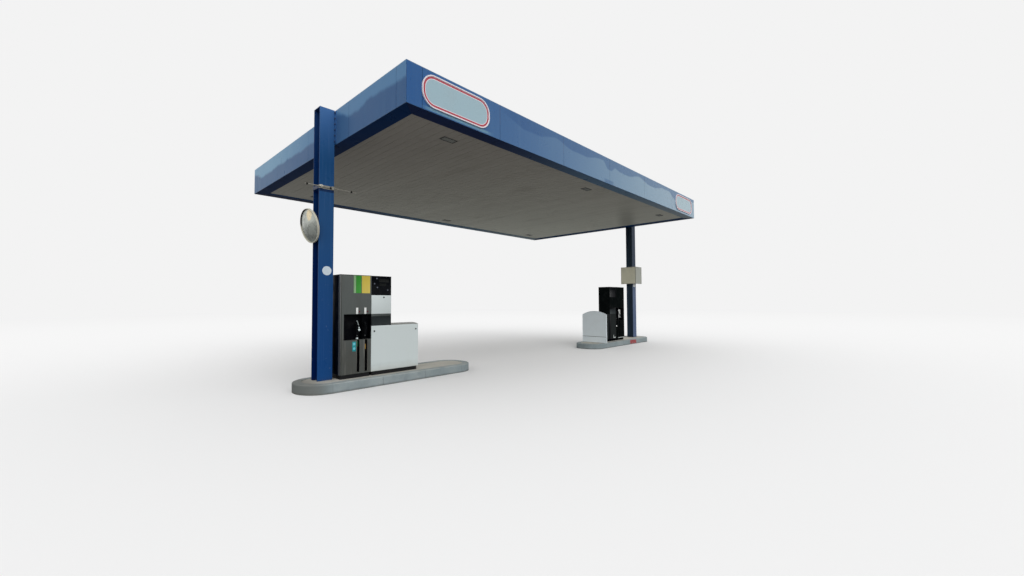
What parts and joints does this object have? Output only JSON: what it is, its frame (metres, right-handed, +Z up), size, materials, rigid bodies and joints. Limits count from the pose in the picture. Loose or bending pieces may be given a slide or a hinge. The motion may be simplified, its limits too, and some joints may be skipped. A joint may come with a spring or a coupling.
{
  "type": "filling station canopy",
  "caption": "Filling station canopy: flat roof with blue fascia and planked ceiling on steel H columns, over kerbed islands with fuel pumps, oval sign plates, a mirror and a notice board.",
  "frame": {"origin": "centre of the underside of the left column's foot plate, at ground level", "axes": "+X along the long front towards the right column, +Y from the front to the rear, +Z up"},
  "size_m": [12.58, 7.142, 4.975],
  "materials": {
    "left_column": "gloss blue paint",
    "right_column": "gloss blue paint",
    "main_beam": "matt primer",
    "ribs": "matt primer",
    "edge_channels": "matt primer",
    "fascia_posts": "matt primer",
    "fascia_rails": "matt primer",
    "purlins": "galvanised",
    "front_deck": "galvanised",
    "rear_deck": "galvanised",
    "ridge_cap": "galvanised",
    "front_gutter": "galvanised",
    "rear_gutter": "galvanised",
    "ceiling_rails": "galvanised",
    "ceiling_planks": "matt off-white paint",
    "front_fascia": "gloss blue paint",
    "rear_fascia": "gloss blue paint",
    "left_fascia": "gloss blue paint",
    "right_fascia": "gloss blue paint",
    "ceiling_lights": "satin grey paint",
    "light_glasses": "frosted glass",
    "left_sign_plate": "gloss, bare",
    "right_sign_plate": "gloss, bare",
    "left_kerb": "concrete",
    "right_kerb": "concrete",
    "left_island_slab": "concrete",
    "right_island_slab": "concrete",
    "banner_bar": "galvanised",
    "mirror_bracket": "galvanised",
    "mirror_shell": "weathered plastic",
    "mirror_face": "polished",
    "notice_board": "satin paint, bare",
    "left_pump_tower": "brushed",
    "left_pump_cabinet": "white enamel",
    "left_pump_head": "satin black",
    "left_nozzle_panel": "moulded",
    "left_nozzles": "moulded",
    "left_hoses": "hose rubber",
    "right_pump_tower": "brushed",
    "right_pump_cabinet": "white enamel",
    "right_pump_head": "satin black",
    "right_nozzle_panel": "moulded",
    "right_nozzles": "moulded",
    "right_hoses": "hose rubber",
    "right_end_panel": "white enamel"
  },
  "bodies": {
    "root": {"left_column": "left_column", "right_column": "right_column", "main_beam": "main_beam", "ribs": "ribs", "edge_channels": "edge_channels", "fascia_posts": "fascia_posts", "fascia_rails": "fascia_rails", "purlins": "purlins", "front_deck": "front_deck", "rear_deck": "rear_deck", "ridge_cap": "ridge_cap", "front_gutter": "front_gutter", "rear_gutter": "rear_gutter", "ceiling_rails": "ceiling_rails", "ceiling_planks": "ceiling_planks", "front_fascia": "front_fascia", "rear_fascia": "rear_fascia", "left_fascia": "left_fascia", "right_fascia": "right_fascia", "ceiling_lights": "ceiling_lights", "light_glasses": "light_glasses", "left_sign_plate": "left_sign_plate", "right_sign_plate": "right_sign_plate", "left_kerb": "left_kerb", "right_kerb": "right_kerb", "left_island_slab": "left_island_slab", "right_island_slab": "right_island_slab", "banner_bar": "banner_bar", "mirror_bracket": "mirror_bracket", "mirror_shell": "mirror_shell", "mirror_face": "mirror_face", "notice_board": "notice_board", "left_pump_tower": "left_pump_tower", "left_pump_cabinet": "left_pump_cabinet", "left_pump_head": "left_pump_head", "left_nozzle_panel": "left_nozzle_panel", "left_nozzles": "left_nozzles", "left_hoses": "left_hoses", "right_pump_tower": "right_pump_tower", "right_pump_cabinet": "right_pump_cabinet", "right_pump_head": "right_pump_head", "right_nozzle_panel": "right_nozzle_panel", "right_nozzles": "right_nozzles", "right_hoses": "right_hoses", "right_end_panel": "right_end_panel"}
  },
  "joints": []
}
